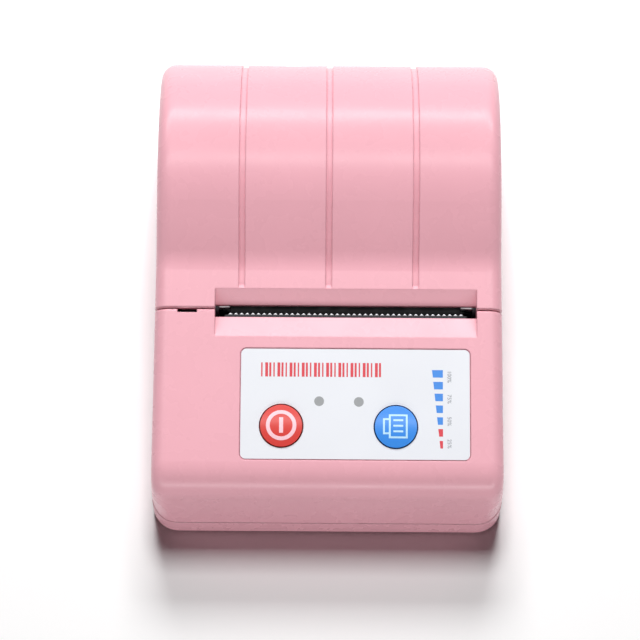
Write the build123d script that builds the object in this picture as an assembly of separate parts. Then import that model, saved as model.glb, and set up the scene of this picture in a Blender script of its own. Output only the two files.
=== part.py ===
# Portable thermal receipt printer: casing, hinged paper cover, print mechanism and electronics.
# Millimetres. A piece is drawn with y running back from the front face, and save() centres it on the origin.
import os
from math import acos, atan2, cos, degrees, hypot, pi, radians, sin, tan

from build123d import *

# Casing
body_width = 80.0
body_length = 108.0
wall = 2.0
foot_proud = 0.5
tray_thickness = 2.0
tray_chamfer = 0.6
band_height = 6.7
band_ledge = 0.15
trim_ledge = 0.1
trim_rise = 20.0
trim_lean_share = 0.75
plan_corner = 6.0
plan_corner_top = 2.0
edge_round = 3.5
side_draft = 1.5
front_lean = 6.0
front_round = 8.0

# Deck and dome
deck_slope = 12.0
deck_front_height = 24.7
dome_radius = 29.3
dome_centre_height = 18.4
dome_top_angle = 90.0
brow_radius = 80.0
brow_start = 30.0
brow_sweep = 16.0
dome_foot_round = 9.5
groove_count = 3
groove_pitch = 19.6
groove_width = 1.45
groove_depth = 0.5
groove_end_height = 27.0

# Seam between the front casing and the cover
seam_y = 41.7
seam_height = 20.0
seam_gap = 0.3
seam_corner = 4.0
reveal_width = 0.3
reveal_depth = 0.25
gear_notch_depth = 0.7

# Paper slot
slot_left_inset = 14.4
slot_right_inset = 6.6
slot_left = -body_width / 2 + slot_left_inset
slot_right = body_width / 2 - slot_right_inset
slot_inset = 1.0
slot_gap = 2.9
chamfer_run = 5.2
chamfer_drop = 2.25
notch_run = 2.7
notch_drop = 3.35
lip_edge = 0.7
lip_wall = 0.3
tear_bar_thickness = 0.4
tear_bar_inset = 2.2
tear_bar_left = slot_left + tear_bar_inset
tear_bar_right = slot_right - tear_bar_inset
tear_bar_depth = 3.15
tear_bar_cover = 0.3
tear_bar_reach = 0.65
tear_bar_shelf = 0.8
tooth_pitch = 1.27
tooth_height = 0.5
tooth_count = int((tear_bar_right - tear_bar_left) / tooth_pitch)

# Rear hinge
knuckle_radius = 2.2
knuckle_length = 5.4
knuckle_side_length = 3.0
knuckle_gap = 0.3
knuckle_x = body_width / 2 - 12.0
hinge_lift = 0.8
hinge_pin_radius = 0.8

# Fits
guide_gap = 0.6
contact_gap = 0.3
running_gap = 0.06
slip_gap = 0.15

# Paper roll and its cradle
roll_radius = 20.0
cradle_play = 1.5
cradle_wall = 1.2
cradle_lip_angle = 175.0
cradle_back_angle = 350.0
guide_start_angle = 226.0
guide_end_angle = 315.0
sensor_width = 4.0
sensor_height = 1.7
sensor_window = 2.0
ear_half = 1.5

# Platen
platen_radius = 5.0
platen_left = slot_left + 3.2
platen_right = slot_right - 3.4
platen_depth = 8.5
shaft_radius = 1.5
bushing_radius = 2.5
bushing_flange = 3.3
bushing_flange_thickness = 0.7
arm_thickness = 1.2
arm_boss = 3.8
plate_thickness = 1.0
sector_steps = 6

# Gear train
gear_module = 0.5
platen_teeth = 20
idler_small_teeth = 12
idler_large_teeth = 22
pinion_teeth = 12
pressure_angle = 20.0
backlash = 0.14
thin_face = 1.4
wide_face = 3.5
gear_gap = 0.2
axle_radius = 1.0
motor_bearing_angle = -52.0
motor_radius = 7.5
motor_length = 14.5
motor_shaft_radius = 0.75
motor_edge = 0.6
motor_boss_radius = 2.5
motor_boss_height = 0.6
motor_plug_length = 5.0
motor_plug_height = 4.0
motor_plug_depth = 2.0
motor_opening = 2.0
axle_head_radius = 1.6
axle_head_height = 0.6
flank_steps = 2

# Print head
head_thickness = 0.8
sink_thickness = 2.5
head_bottom_drop = 7.5
head_top_rise = 3.7
head_pin_radius = 1.0
head_pivot_rise = 1.0
head_reach = 0.6
frame_front_y = 33.5
heater_line_width = 0.8
heater_line_rise = 0.1
rib_count = 9
rib_slot_width = 2.4
rib_slot_depth = 0.8
spring_thickness = 0.3
spring_inset = 4.0
spring_height = 3.0
finger_count = 3
finger_width = 5.0
finger_drop = 1.7
finger_gap = 0.45

# Control panel on the deck
panel_x = 6.1
panel_y = 20.6
panel_width = body_width - 28.8
panel_length = 24.9
panel_corner = 1.2
panel_thickness = 0.35
panel_gap = 0.22
button_radius = 4.7
button_rise = 1.0
button_crown = 0.7
button_flange = 5.6
button_flange_thickness = 0.7
button_travel = 0.5
power_button_at = (-panel_width / 2 + 9.1, -5.0)
feed_button_at = (panel_width / 2 - 16.5, -5.1)
lamp_radius = 1.1
lamps_at = ((-8.07, 0.6), (0.8, 0.5))

# Electronics
board_thickness = 1.6
board_front_y = 12.0
board_back_y = 31.3
board_left = -body_width / 2 + 5.0
board_right = body_width / 2 - 5.0
switch_side = 4.5
switch_height = 2.0
plunger_radius = 1.2
plunger_height = 0.6
lamp_chip_height = 0.7
lamp_chip_width = 1.6
socket_width = 7.6
socket_height = 2.9
socket_length = 5.0
socket_wall = 0.3
socket_play = 1.0
socket_corner = 1.2
tongue_thickness = 0.7
module_width = 11.5
module_length = 11.0
module_height = 2.2
module_base = 0.8
module_x = board_left + 11.8
flex_width = 20.0
flex_thickness = 0.3
window_rise = 1.2
flex_x = 8.0
connector_height = 1.8
connector_length = 3.0
slit_height = 0.5
board_post_radius = 1.8
board_screw_radius = 0.7
board_screw_bite = 3.0
board_screw_head = 1.4
board_post_xs = (board_left + 2.5, board_right - 6.5)
board_post_ups = (9.3, -4.8)

# Battery and its door
door_half_width = body_width / 2 - 12.0
battery_width = 2 * (door_half_width - 1.0)
battery_front_y = 9.8
battery_back_y = 30.3
battery_height = 13.0
door_front_y = 5.0
door_back_y = 31.0
door_gap = 0.3
hook_width = 6.0
hook_x = 18.0
hook_reach = 2.2
hook_thickness = 0.8
hook_root = 1.5
battery_edge = 2.0
bay_wall = 1.2
grip_length = 16.0
grip_width = 6.0
grip_depth = 0.6
grip_inset = 6.0
blade_count = 3
blade_pitch = 3.0
blade_width = 1.2
blade_height = 4.0

# Screws and feet
screw_x = body_width / 2 - 5.2
front_screw_y = 9.0
back_screw_inset = 6.5
post_radius = 2.9
boss_radius = 3.3
post_height = 4.5
rear_boss_height = 6.0
screw_radius = 1.0
screw_head_radius = 1.9
screw_head_height = 1.1
screw_bite = 5.0
tab_post_height = 2.0
tab_radius = 2.4
tab_screw_radius = 0.8
tab_screw_head = 1.7
tab_screw_head_height = 1.0
foot_radius = 3.5
foot_seat = 0.3
foot_x = body_width / 2 - 6.5
front_foot_y = 21.0
back_foot_inset = 20.0
foot_edge = 0.25

# Worked out from the sizes above
tray_top = foot_proud + tray_thickness
post_top = tray_top + post_height
dome_y = body_length - band_ledge - dome_radius
hinge_y = body_length - band_ledge - knuckle_radius
hinge_z = seam_height - knuckle_radius - hinge_lift
slot_y = seam_y - slot_inset
lip_y = slot_y + slot_gap
notch_y = lip_y + notch_run
slope = radians(deck_slope)


def deck_z(y):
    return deck_front_height + y * tan(slope)


slot_z = deck_z(slot_y) - chamfer_drop
lip_z = deck_z(notch_y) - notch_drop
platen_y = slot_y + contact_gap + platen_radius
platen_z = deck_z(seam_y) - platen_depth
swing_y = platen_y - hinge_y
swing_z = platen_z - hinge_z
swing = hypot(swing_y, swing_z)


def gear_distance(teeth_a, teeth_b):
    return gear_module * (teeth_a + teeth_b) / 2


# The idler lies straight below the platen's way out, so the teeth part without turning
idler_reach = gear_distance(platen_teeth, idler_small_teeth)
idler_y = platen_y - swing_z / swing * idler_reach
idler_z = platen_z + swing_y / swing * idler_reach
motor_reach = gear_distance(idler_large_teeth, pinion_teeth)
motor_y = idler_y + motor_reach * cos(radians(motor_bearing_angle))
motor_z = idler_z + motor_reach * sin(radians(motor_bearing_angle))

# Stations across the left and right ends of the mechanism, from the paper path outwards
left_arm = slot_left - slip_gap - arm_thickness
left_plate_inner = left_arm - contact_gap
left_plate_outer = left_plate_inner - plate_thickness
thin_gear_inner = left_plate_outer - gear_gap
thin_gear_outer = thin_gear_inner - thin_face
wide_gear_inner = thin_gear_outer - gear_gap
wide_gear_outer = wide_gear_inner - wide_face
right_arm = slot_right + slip_gap
right_plate_inner = right_arm + arm_thickness + contact_gap
right_plate_outer = right_plate_inner + plate_thickness

cradle_radius = roll_radius + cradle_play
cradle_y = dome_y
cradle_z = tray_top + contact_gap + cradle_wall + cradle_radius
sensor_x = (slot_left + slot_right) / 2
cradle_left = slot_left + slip_gap
cradle_right = slot_right - slip_gap

head_face_y = slot_y
sink_y = head_face_y - head_thickness - sink_thickness
pivot_y = sink_y + sink_thickness / 2
pivot_z = platen_z - head_bottom_drop + head_pivot_rise
head_left = platen_left - head_reach
head_right = platen_right + head_reach

# Depths below the deck, square to it
flange_depth = wall + contact_gap + button_flange_thickness
plunger_depth = flange_depth + contact_gap + button_travel
board_depth = plunger_depth + plunger_height + switch_height

door_axis_y = door_front_y + tray_thickness / 2
door_axis_z = foot_proud + tray_thickness / 2


def prism(face, left, right):
    # Extrudes a side-view face from x = left to x = right
    return Pos(left, 0, 0) * extrude(Plane.YZ * face, right - left, dir=(1, 0, 0))


def side_polygon(points, left, right):
    return prism(make_face(Polyline(*points, close=True)), left, right)


def sector(reach, start, end):
    # Wedge from the centre, wide enough to cut a ring between two angles in degrees
    points = [(0, 0)]
    for step in range(sector_steps + 1):
        angle = radians(start + (end - start) * step / sector_steps)
        points.append((reach * cos(angle), reach * sin(angle)))
    return make_face(Polyline(*points, close=True))


def rod(y, z, radius, left, right):
    return prism(Pos(y, z) * Circle(radius), left, right)


def upright(x, y, radius, low, high):
    return Pos(x, y, low) * extrude(Circle(radius), high - low)


def block(left, right, front, back, low, high):
    face = Pos((left + right) / 2, (front + back) / 2, low) * Rectangle(right - left, back - front)
    return extrude(face, high - low)


def deck_plane(x=panel_x, up_slope=0.0, depth=0.0):
    # Square to the deck: local x runs across, local y up the slope from the panel's middle, local z outwards
    base = Plane(
        origin=(x, panel_y, deck_z(panel_y)),
        x_dir=(1, 0, 0),
        z_dir=(0, -sin(slope), cos(slope)),
    )
    return base * Pos(0, up_slope, -depth)


def on_panel(at, depth=0.0):
    return deck_plane(panel_x + at[0], at[1], depth)


def side_face():
    # The closed side view above the band: leaning front, sloping deck, brow, dome and upright back
    low = band_height
    lean = tan(radians(front_lean))
    corner_z = (deck_front_height + (band_ledge - low * lean) * tan(slope)) / (1 - lean * tan(slope))
    corner_y = band_ledge + (corner_z - low) * lean
    brow_top = dome_top_angle + brow_start
    centre = Vector(dome_y, dome_centre_height)
    inward = Vector(-cos(radians(brow_top)), -sin(radians(brow_top)))
    brow_centre = centre + inward * (brow_radius - dome_radius)
    dome = CenterArc(tuple(centre)[:2], dome_radius, 0, brow_top)
    brow = CenterArc(tuple(brow_centre)[:2], brow_radius, brow_top, brow_sweep)
    end = brow @ 1
    rest = Polyline(tuple(end)[:2], (end.X, low), (dome_y + dome_radius, low), tuple(dome @ 0)[:2])
    dome_face = make_face([dome, brow, rest])
    deck_points = ((band_ledge, low), (corner_y, corner_z), (dome_y, deck_z(dome_y)), (dome_y, low))
    deck_face = make_face(Polyline(*deck_points, close=True))
    face = (deck_face + dome_face).face()
    front = face.vertices().sort_by_distance((corner_y, corner_z))[0]
    face = fillet(front, front_round).face()
    foot = [v for v in face.vertices() if corner_y + front_round < v.X < dome_y and v.Y > low + 1]
    foot = sorted(foot, key=lambda v: abs(v.Y - deck_z(v.X)))[0]
    return fillet(foot, dome_foot_round).face()


def upper_form(inset):
    # The outer form above the band, or the same form moved in by a wall
    face = side_face()
    if inset:
        face = offset(face, -inset).face()
    half = body_width / 2 - band_ledge - inset
    top = band_height + body_length
    shrink = body_length * tan(radians(side_draft))
    low = band_height
    wedge_points = ((-half, low), (half, low), (half - shrink, top), (shrink - half, top))
    wedge = make_face(Polyline(*wedge_points, close=True))
    form = prism(face, -body_width, body_width) & extrude(Plane.XZ * wedge, body_length, both=True)
    sides = [f for f in form.faces() if abs(f.normal_at().X) > 0.9]
    floor = min(v.Z for v in form.vertices())
    edges = {e for f in sides for e in f.edges() if e.center().Z > floor + 0.5}
    form = fillet(list(edges), edge_round - inset)
    return form & corner_trim(inset, floor)


def corner_trim(inset, low):
    # Widens the plan corners from the edge rounding down to the band's corner radius
    draw = inset + trim_ledge
    rise = Pos(0, 0, trim_rise)
    spread = trim_rise * tan(radians(side_draft)) / 2
    front_shift = trim_rise * tan(radians(front_lean)) * trim_lean_share
    length = body_length - 2 * draw
    bottom_face = RectangleRounded(body_width - 2 * draw, length, plan_corner - inset)
    bottom = Pos(0, body_length / 2, low) * bottom_face
    top_length = length - front_shift + 2 * trim_ledge
    top_face = RectangleRounded(body_width - 2 * draw - 2 * spread, top_length, plan_corner_top)
    top_y = draw + front_shift + top_length / 2
    lofted = loft([bottom, Pos(0, top_y, low) * rise * top_face])
    above = block(-body_width, body_width, -wall, body_length + wall, low + trim_rise, low + body_length)
    return lofted + above


def band_form(inset, low, high):
    face = RectangleRounded(body_width - 2 * inset, body_length - 2 * inset, plan_corner - inset)
    return extrude(Pos(0, body_length / 2, low) * face, high - low)


def casing_shell():
    outer = band_form(0, tray_top, band_height) + upper_form(0)
    inner = band_form(wall, foot_proud, band_height + wall) + upper_form(wall)
    return outer - inner


def cover_region(grow):
    # Side view of what opens: all behind the seam, which is square to the deck, and above the side seam
    front = seam_y + seam_gap / 2 - grow
    low = seam_height + seam_gap / 2 - grow
    far = 2 * body_length
    foot = front + (deck_z(seam_y) - low) * tan(slope)
    top = front - (far - deck_z(seam_y)) * tan(slope)
    face = make_face(Polyline((foot, low), (far, low), (far, far), (top, far), close=True))
    corner = face.vertices().sort_by_distance((foot, low))[0]
    return prism(fillet(corner, seam_corner + grow).face(), -body_width, body_width)


def seam_reveal():
    # The shallow step in the skin on both sides of the seam
    zone = cover_region(seam_gap + reveal_width) - cover_region(-reveal_width)
    return zone - upper_form(reveal_depth)


def hinge_spans(side):
    # x spans of one hinge: outer knuckle, cover knuckle and inner knuckle
    middle = side * knuckle_x
    half = knuckle_length / 2
    near = half + knuckle_gap
    far = near + knuckle_side_length
    return (middle - far, middle - near), (middle - half, middle + half), (middle + near, middle + far)


def housing_knuckles():
    foot = knuckle_radius * 2
    solids = []
    for side in (-1, 1):
        outer, _, inner = hinge_spans(side)
        for left, right in (outer, inner):
            front = hinge_y - knuckle_radius
            web = block(left, right, front, front + foot, hinge_z - foot, hinge_z)
            solids.append(rod(hinge_y, hinge_z, knuckle_radius, left, right) + web)
    return solids


def hinge_relief(form):
    # Rounds the rear wall's top about the hinge and clears the way of the cover's knuckles
    reach = knuckle_radius + hinge_lift - seam_gap
    corner = block(-body_width, body_width, hinge_y, body_length + wall, hinge_z, seam_height + wall)
    form -= corner - rod(hinge_y, hinge_z, reach, -body_width, body_width)
    clear = knuckle_radius + 2 * contact_gap
    for side in (-1, 1):
        outer, middle, inner = hinge_spans(side)
        left = outer[0] - knuckle_gap
        right = inner[1] + knuckle_gap
        front = hinge_y - 2 * knuckle_radius
        form -= block(left, right, front, body_length + wall, hinge_z, seam_height + wall)
        left = middle[0] - knuckle_gap
        right = middle[1] + knuckle_gap
        form -= rod(hinge_y, hinge_z, clear, left, right)
    return form


def screw_places():
    back = body_length - back_screw_inset
    return [(side * screw_x, y) for side in (-1, 1) for y in (front_screw_y, back)]


def slot_lip():
    # Thickens the deck under the chamfer and carries the tear bar
    front = slot_y - chamfer_run
    low = slot_z - tear_bar_cover - tear_bar_thickness - tear_bar_shelf
    points = (
        (front - wall, deck_z(front - wall) - wall / 2),
        (front - wall, deck_z(front) - wall),
        (front, low),
        (slot_y, low),
        (slot_y, deck_z(slot_y) - wall / 2),
    )
    return side_polygon(points, slot_left - wall, slot_right + wall)


def chamfer_cut():
    front = slot_y - chamfer_run
    high = deck_z(body_length)
    points = (
        (front, high),
        (front, deck_z(front)),
        (slot_y, slot_z),
        (lip_y, slot_z),
        (lip_y, high),
    )
    return side_polygon(points, slot_left, slot_right)


def tear_bar():
    # A strip whose back edge is cut into teeth
    back = slot_y + tear_bar_reach
    front = back - tear_bar_depth
    teeth_left = (tear_bar_left + tear_bar_right - tooth_count * tooth_pitch) / 2
    points = [(tear_bar_left, front), (tear_bar_left, back), (teeth_left, back)]
    for tooth in range(tooth_count):
        root = teeth_left + tooth * tooth_pitch
        points += [(root + tooth_pitch / 2, back + tooth_height), (root + tooth_pitch, back)]
    points += [(tear_bar_right, back), (tear_bar_right, front)]
    low = slot_z - tear_bar_cover - tear_bar_thickness
    return extrude(Pos(0, 0, low) * make_face(Polyline(*points, close=True)), tear_bar_thickness)


def tear_bar_pocket():
    low = slot_z - tear_bar_cover - tear_bar_thickness
    front = slot_y + tear_bar_reach - tear_bar_depth
    return block(tear_bar_left, tear_bar_right, front, slot_y + wall, low, low + tear_bar_thickness)


def gear_notch():
    # Lets the platen gear past the deck's back edge
    left = wide_gear_outer - contact_gap - slip_gap
    right = wide_gear_inner + contact_gap + slip_gap
    front = seam_y - seam_gap / 2 - gear_notch_depth
    return block(left, right, front, seam_y + wall, deck_z(seam_y) - 2 * wall, deck_z(body_length))


def socket_opening():
    place = deck_plane(body_width / 2, 0, board_depth - socket_height / 2)
    play = 2 * socket_play
    opening = SlotOverall(socket_width + play, socket_height + play, rotation=90)
    return place * extrude(Rot(0, 90, 0) * opening, 3 * wall, both=True)


def board_posts():
    return [(x, y) for x in board_post_xs for y in board_post_ups]


def upper_housing():
    form = casing_shell() - cover_region(seam_gap) - seam_reveal()
    outside = upper_form(wall / 2) + band_form(wall / 2, foot_proud, band_height + wall)
    form += slot_lip() & outside
    form -= chamfer_cut()
    form = hinge_relief(form)
    form -= gear_notch()
    form -= tear_bar_pocket()
    solids = housing_knuckles()
    for x, y in screw_places():
        top = deck_z(y) if y < body_length / 2 else post_top + rear_boss_height
        solids.append(upright(x, y, boss_radius, post_top, top) & outside)
    for x, y in board_posts():
        post = extrude(Circle(board_post_radius), board_depth - wall / 2)
        solids.append(deck_plane(x, y, board_depth) * post)
    form += solids
    for x, y in screw_places():
        form -= upright(x, y, screw_radius, tray_top, post_top + screw_bite)
    for side in (-1, 1):
        outer, _, inner = hinge_spans(side)
        form -= rod(hinge_y, hinge_z, hinge_pin_radius, outer[0] - wall, inner[1])
    for x, y in board_posts():
        form -= deck_plane(x, y, board_depth) * extrude(Circle(board_screw_radius), board_screw_bite)
    gap = 2 * panel_gap
    recess = RectangleRounded(panel_width + gap, panel_length + gap, panel_corner + panel_gap)
    form -= deck_plane(depth=panel_thickness) * extrude(recess, wall)
    for at in (power_button_at, feed_button_at):
        form -= on_panel(at, 2 * wall) * extrude(Circle(button_radius + contact_gap), 3 * wall)
    for at in lamps_at:
        form -= on_panel(at, 2 * wall) * extrude(Circle(lamp_radius), 3 * wall)
    return form - socket_opening()


def lower_housing():
    form = band_form(0, foot_proud, tray_top)
    bottom = form.faces().sort_by(Axis.Z)[0]
    form = chamfer(bottom.edges(), tray_chamfer)
    step = wall + slip_gap
    high = tray_top + wall
    form += band_form(step, tray_top, high) - band_form(step + bay_wall, tray_top, high)
    door = door_half_width + door_gap
    bay_front = door_front_y + hook_reach
    bay_high = tray_top + battery_height / 2
    form += block(-door - bay_wall, -door, bay_front, door_back_y, tray_top, bay_high)
    form += block(door, door + bay_wall, bay_front, door_back_y, tray_top, bay_high)
    for x, y in screw_places():
        form += upright(x, y, post_radius, tray_top, post_top)
    for x, y in tab_places():
        form += upright(x, y, tab_radius, tray_top, tray_top + tab_post_height)
    back = door_back_y + door_gap
    form -= block(-door, door, door_front_y - door_gap, back, 0, 2 * tray_top)
    form += block(-door - bay_wall, door + bay_wall, back, back + bay_wall, tray_top, high)
    for x, y in screw_places():
        form -= upright(x, y, screw_radius + slip_gap, 0, post_top)
        form -= upright(x, y, screw_head_radius + slip_gap, 0, foot_proud + screw_head_height + slip_gap)
    for x, y in tab_places():
        form -= upright(x, y, tab_screw_radius, tray_top - 1, tray_top + tab_post_height)
    for x, y in foot_places():
        form -= upright(x, y, foot_radius, 0, foot_proud + foot_seat)
    return form


def foot_places():
    back = body_length - back_foot_inset
    return [(side * foot_x, y) for side in (-1, 1) for y in (front_foot_y, back)]


def rubber_feet():
    feet = []
    for x, y in foot_places():
        foot = upright(x, y, foot_radius, 0, foot_proud + foot_seat)
        feet.append(chamfer(foot.edges().sort_by(Axis.Z)[0], foot_edge))
    return feet


def housing_screws():
    screws = []
    for x, y in screw_places():
        low = foot_proud + slip_gap
        head = upright(x, y, screw_head_radius, low, low + screw_head_height)
        screws.append(head + upright(x, y, screw_radius, low + screw_head_height, post_top + screw_bite))
    return screws


def lip():
    # The cover's sloping wall at the back of the slot
    deep = notch_y + wall
    drop = wall + lip_wall
    points = (
        (lip_y, lip_z),
        (notch_y, deck_z(notch_y)),
        (deep, deck_z(deep) - wall / 2),
        (deep, deck_z(deep) - drop),
        (notch_y + lip_wall, deck_z(notch_y) - drop),
        (lip_y + lip_edge, lip_z - lip_edge),
        (lip_y, lip_z - lip_edge),
    )
    return side_polygon(points, slot_left - wall / 2, slot_right + wall / 2)


def notch_cut():
    high = deck_z(body_length)
    front = seam_y - wall
    points = (
        (front, high),
        (front, platen_z),
        (lip_y, platen_z),
        (lip_y, lip_z),
        (notch_y, deck_z(notch_y)),
        (notch_y, high),
    )
    return side_polygon(points, slot_left, slot_right)


def cover_arm(left, right):
    # Cheek at the end of the slot, drawn down to the boss that holds a bushing
    front = seam_y + seam_gap / 2 + 2 * wall * tan(slope)
    back = notch_y + 3 * wall
    cheek = (
        (front, slot_z),
        (front, deck_z(front) - wall / 2),
        (back, deck_z(back) - wall / 2),
        (back, slot_z + wall),
        (platen_y + arm_boss, platen_z),
        (platen_y - arm_boss, platen_z),
    )
    return side_polygon(cheek, left, right) + rod(platen_y, platen_z, arm_boss, left, right)


def cover_knuckles():
    solids = []
    for side in (-1, 1):
        left, right = hinge_spans(side)[1]
        low = hinge_z + knuckle_radius + hinge_lift
        points = (
            (hinge_y - knuckle_radius, hinge_z),
            (hinge_y + knuckle_radius / 4, hinge_z),
            (hinge_y + knuckle_radius / 4, low + wall),
            (hinge_y, low + 3 * wall),
            (hinge_y - knuckle_radius, low + wall),
        )
        solids.append(side_polygon(points, left, right) + rod(hinge_y, hinge_z, knuckle_radius, left, right))
    return solids


def paper_cover():
    form = (casing_shell() & cover_region(0)) - seam_reveal()
    inner = prism(offset(side_face(), -groove_depth).face(), -body_width, body_width)
    first = -groove_pitch * (groove_count - 1) / 2
    for groove in range(groove_count):
        x = first + groove * groove_pitch
        left = x - groove_width / 2
        right = left + groove_width
        form -= block(left, right, notch_y - 1, body_length + 1, groove_end_height, body_length) - inner
    form = form - notch_cut() + lip()
    arms = [cover_arm(left_arm, slot_left), cover_arm(slot_right, right_arm + arm_thickness)]
    form += arms
    form += cover_knuckles()
    form -= rod(platen_y, platen_z, bushing_radius, left_arm - wall, right_arm + 2 * wall)
    for side in (-1, 1):
        left, right = hinge_spans(side)[1]
        form -= rod(hinge_y, hinge_z, hinge_pin_radius + running_gap, left - wall, right + wall)
    return form


def hinge_pins():
    pins = []
    for side in (-1, 1):
        outer, _, inner = hinge_spans(side)
        pins.append(rod(hinge_y, hinge_z, hinge_pin_radius, outer[0], inner[1]))
    return pins


def involute_points(teeth):
    # One flank from the root to the tip, as (radius, half angle of the tooth there)
    pitch = gear_module * teeth / 2
    base = pitch * cos(radians(pressure_angle))
    tip = pitch + gear_module
    root = pitch - 1.25 * gear_module
    half_tooth = (gear_module * pi - backlash) / (4 * pitch)
    roll_at_pitch = tan(radians(pressure_angle)) - radians(pressure_angle)
    points = []
    for step in range(flank_steps + 1):
        radius = max(base, root) + (tip - max(base, root)) * step / flank_steps
        angle = acos(min(1, base / radius))
        points.append((radius, half_tooth + roll_at_pitch - (tan(angle) - angle)))
    if root < base:
        points.insert(0, (root, points[0][1]))
    return points


def gear(teeth, first_tooth, left, right, bore):
    # Spur gear about the x axis with one tooth centred at the angle first_tooth, in degrees from y towards z
    flank = involute_points(teeth)
    outline = []
    for tooth in range(teeth):
        middle = radians(first_tooth + tooth * 360 / teeth)
        outline += [(r * cos(middle - a), r * sin(middle - a)) for r, a in flank]
        outline += [(r * cos(middle + a), r * sin(middle + a)) for r, a in reversed(flank)]
    face = make_face(Polyline(*outline, close=True))
    if bore:
        face -= Circle(bore)
    return prism(face, left, right)


def mesh_angle(from_y, from_z, to_y, to_z):
    return degrees(atan2(to_z - from_z, to_y - from_y))


def platen_gear():
    towards = mesh_angle(platen_y, platen_z, idler_y, idler_z)
    wheel = gear(platen_teeth, towards, wide_gear_outer, wide_gear_inner, shaft_radius)
    return Pos(0, platen_y, platen_z) * wheel


def idler_gear():
    bore = axle_radius + running_gap
    small_at = mesh_angle(idler_y, idler_z, platen_y, platen_z) + 180 / idler_small_teeth
    large_at = mesh_angle(idler_y, idler_z, motor_y, motor_z)
    small = gear(idler_small_teeth, small_at, wide_gear_outer, thin_gear_outer, bore)
    large = gear(idler_large_teeth, large_at, thin_gear_outer, thin_gear_inner, bore)
    return Pos(0, idler_y, idler_z) * (small + large)


def motor_pinion():
    first = mesh_angle(motor_y, motor_z, idler_y, idler_z) + 180 / pinion_teeth
    wheel = gear(pinion_teeth, first, thin_gear_outer, thin_gear_inner, motor_shaft_radius)
    return Pos(0, motor_y, motor_z) * wheel


def motor_shaft():
    left = thin_gear_outer - slip_gap
    right = left_plate_inner + motor_length + motor_boss_height + slip_gap
    return rod(motor_y, motor_z, motor_shaft_radius, left, right)


def motor_can():
    right = left_plate_inner + motor_length
    can = rod(motor_y, motor_z, motor_radius, left_plate_inner, right)
    can = chamfer(can.edges().filter_by(GeomType.CIRCLE), motor_edge)
    can += rod(motor_y, motor_z, motor_boss_radius, right, right + motor_boss_height)
    back = motor_y + motor_radius
    plug_right = right - 2 * motor_edge
    plug_left = plug_right - motor_plug_length
    plug_low = motor_z - motor_plug_height - 1
    can += block(plug_left, plug_right, back - 1, back + motor_plug_depth, plug_low, motor_z - 1)
    return can - rod(motor_y, motor_z, motor_shaft_radius + running_gap, left_plate_inner, right + 1)


def idler_axle():
    end = wide_gear_outer - gear_gap
    head = rod(idler_y, idler_z, axle_head_radius, end - axle_head_height, end)
    return head + rod(idler_y, idler_z, axle_radius, end, left_plate_inner)


def platen_shaft():
    return rod(platen_y, platen_z, shaft_radius, wide_gear_outer - gear_gap, right_plate_outer + gear_gap)


def platen_rubber():
    sleeve = rod(platen_y, platen_z, platen_radius, platen_left, platen_right)
    sleeve = chamfer(sleeve.edges().filter_by(GeomType.CIRCLE), contact_gap)
    return sleeve - rod(platen_y, platen_z, shaft_radius, platen_left, platen_right)


def platen_bushings():
    reach = right_plate_outer + wall
    bore = rod(platen_y, platen_z, shaft_radius + running_gap, -reach, reach)
    left = rod(platen_y, platen_z, bushing_radius, left_plate_outer, slot_left)
    left += rod(platen_y, platen_z, bushing_flange, slot_left, slot_left + bushing_flange_thickness)
    right = rod(platen_y, platen_z, bushing_radius, slot_right, right_plate_outer)
    right += rod(platen_y, platen_z, bushing_flange, slot_right - bushing_flange_thickness, slot_right)
    return [left - bore, right - bore]


def tab_places():
    back = motor_y + motor_radius - tab_radius
    inset = tab_radius + screw_radius
    return [(left_plate_outer - inset, back), (right_plate_inner - inset, back)]


def side_plate(left, right):
    # Steel side of the mechanism with an open seat for the bushing
    seat = bushing_radius + contact_gap
    back = motor_y + motor_radius
    points = (
        (frame_front_y, tray_top),
        (frame_front_y, platen_z + head_top_rise),
        (platen_y - seat, platen_z + head_top_rise),
        (platen_y - seat, platen_z),
        (platen_y + seat, platen_z),
        (back, motor_z + motor_radius),
        (back, tray_top),
    )
    plate = side_polygon(points, left, right)
    return plate - rod(platen_y, platen_z, seat, left, right)


def mechanism_frame():
    high = platen_z + head_top_rise
    form = side_plate(left_plate_outer, left_plate_inner) + side_plate(right_plate_inner, right_plate_outer)
    cross_back = frame_front_y + plate_thickness
    form += block(left_plate_outer, right_plate_outer, frame_front_y, cross_back, tray_top, high)
    window = flex_width / 2 + 1
    low = flex_z() - window_rise
    form -= block(flex_x - window, flex_x + window, frame_front_y, cross_back, low, low + 2 * window_rise)
    tab_low = tray_top + tab_post_height
    tab_high = tab_low + plate_thickness
    for (x, y), inner in zip(tab_places(), (left_plate_outer, right_plate_inner)):
        form += block(x - tab_radius, inner, y - tab_radius, y + tab_radius, tab_low, tab_high)
        form -= upright(x, y, screw_radius + slip_gap, tab_low, tab_high)
    form -= rod(idler_y, idler_z, axle_radius, left_plate_outer, left_plate_inner)
    form -= rod(motor_y, motor_z, motor_opening, left_plate_outer, left_plate_inner)
    form -= rod(pivot_y, pivot_z, head_pin_radius + running_gap, left_plate_outer, right_plate_outer)
    return form


def mechanism_screws():
    screws = []
    for x, y in tab_places():
        low = tray_top + tab_post_height + plate_thickness
        shank = upright(x, y, tab_screw_radius, tray_top - 1, low)
        screws.append(shank + upright(x, y, tab_screw_head, low, low + tab_screw_head_height))
    for x, y in board_posts():
        place = deck_plane(x, y, board_depth + board_thickness)
        shank = extrude(Circle(board_screw_radius), board_thickness + board_screw_bite - 1)
        screws.append(place * (extrude(Circle(board_screw_head), -board_screw_radius) + shank))
    return screws


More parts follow.
